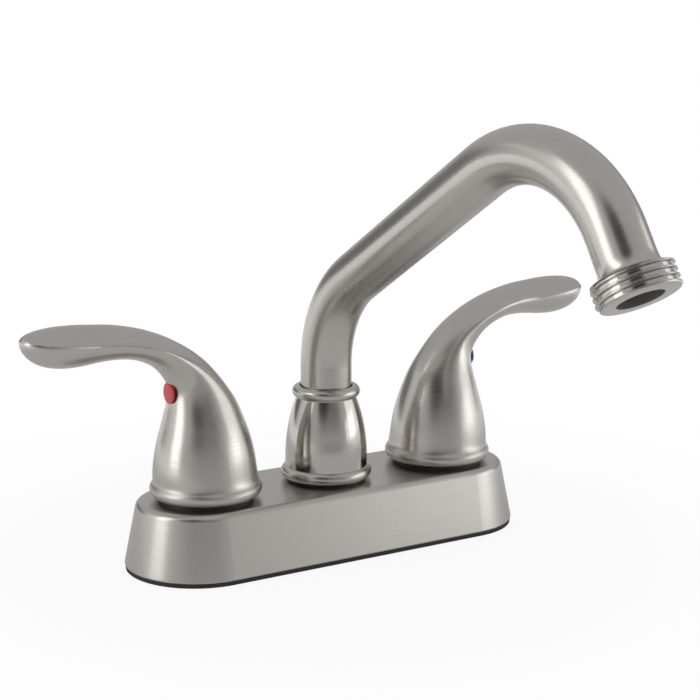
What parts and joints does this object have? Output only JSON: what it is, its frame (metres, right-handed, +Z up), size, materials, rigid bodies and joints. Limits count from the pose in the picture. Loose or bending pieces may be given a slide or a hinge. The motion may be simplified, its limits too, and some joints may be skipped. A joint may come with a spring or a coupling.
{
  "type": "utility sink faucet",
  "caption": "Centerset utility sink faucet with a lever handle on each side, a tall bent swivel spout that ends in a hose thread, and a drafted base with round ends.",
  "frame": {"origin": "on the deck, at the middle of the base gasket's underside, midway between the shanks", "axes": "+X towards the cold handle, -Y towards the user and the spout's outlet, +Z up"},
  "size_m": [0.2384, 0.1972, 0.2139],
  "materials": {
    "brushed_nickel": "brushed nickel, warm grey, satin",
    "cast_brass": "machined brass",
    "spring_steel": "bright",
    "black_rubber": "matt",
    "black_plastic": "matt",
    "white_plastic": "matt",
    "white_ceramic": "ground ceramic",
    "red_plastic": "gloss",
    "blue_plastic": "gloss"
  },
  "bodies": {
    "base": {"deck_gasket": "black_rubber", "base_cover": "brushed_nickel", "waterway_body": "cast_brass", "collar_washer": "black_plastic", "spout_collar": "brushed_nickel", "collar_bushing": "white_plastic", "spout_thrust_washer": "white_plastic", "hot_inlet_shank": "cast_brass", "hot_deck_washer": "black_plastic", "hot_deck_nut": "black_plastic", "hot_cover_nut": "black_plastic", "hot_seat_seal": "black_rubber", "hot_cartridge_body": "cast_brass", "hot_fixed_disc": "white_ceramic", "hot_bonnet_nut": "cast_brass", "cold_inlet_shank": "cast_brass", "cold_deck_washer": "black_plastic", "cold_deck_nut": "black_plastic", "cold_cover_nut": "black_plastic", "cold_seat_seal": "black_rubber", "cold_cartridge_body": "cast_brass", "cold_fixed_disc": "white_ceramic", "cold_bonnet_nut": "cast_brass"},
    "spout": {"spout_spigot": "cast_brass", "spout_lower_oring": "black_rubber", "spout_upper_oring": "black_rubber", "spout_retaining_ring": "spring_steel", "spout_tube": "brushed_nickel", "hose_outlet": "brushed_nickel"},
    "hot_lever": {"hot_turning_disc": "white_ceramic", "hot_stem": "cast_brass", "hot_stem_oring": "black_rubber", "hot_stem_clip": "spring_steel", "hot_adapter": "white_plastic", "hot_handle": "brushed_nickel", "hot_set_screw": "spring_steel", "hot_index_button": "red_plastic"},
    "cold_lever": {"cold_turning_disc": "white_ceramic", "cold_stem": "cast_brass", "cold_stem_oring": "black_rubber", "cold_stem_clip": "spring_steel", "cold_adapter": "white_plastic", "cold_handle": "brushed_nickel", "cold_set_screw": "spring_steel", "cold_index_button": "blue_plastic"}
  },
  "joints": [
    {"name": "spout_swivel", "type": "hinge", "parent": "base", "child": "spout", "pos_m": [0, 0, 0.03], "axis": [0, 0, 1], "continuous": true},
    {"name": "hot_turn", "type": "hinge", "parent": "base", "child": "hot_lever", "pos_m": [-0.0508, 0, 0.03], "axis": [0, 0, 1], "range_deg": [0, 90]},
    {"name": "cold_turn", "type": "hinge", "parent": "base", "child": "cold_lever", "pos_m": [0.0508, 0, 0.03], "axis": [0, 0, 1], "range_deg": [-90, 0]}
  ]
}
